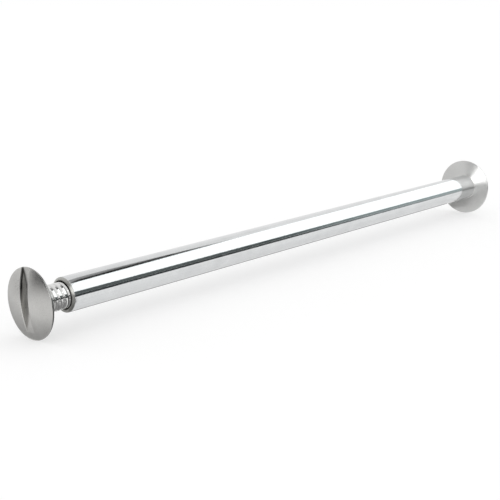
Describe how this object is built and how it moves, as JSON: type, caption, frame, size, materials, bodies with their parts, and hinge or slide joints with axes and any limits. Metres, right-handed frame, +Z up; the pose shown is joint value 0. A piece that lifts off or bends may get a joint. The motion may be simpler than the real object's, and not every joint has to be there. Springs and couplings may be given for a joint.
{
  "type": "binding barrel screw",
  "caption": "Long binding barrel with a plain domed head, closed by a slotted domed screw that threads into its mouth; clamps punched sheets or panels between the two heads.",
  "frame": {"origin": "on the surface the part lies on, under the axis and midway along the length", "axes": "+X along the common axis from the screw's head to the barrel's head, +Z up"},
  "size_m": [0.146, 0.0142, 0.0143],
  "materials": {
    "barrel_metal": "bright drawn shank, fine turned lines on the head",
    "screw_metal": "satin head with fine turned lines, bright thread"
  },
  "bodies": {
    "barrel": {"barrel": "barrel_metal"},
    "screw": {"screw": "screw_metal"}
  },
  "joints": [
    {"name": "screw_travel", "type": "slide", "parent": "barrel", "child": "screw", "axis": [-1, 0, 0], "range_m": [-0.00635, 0.0127]}
  ]
}
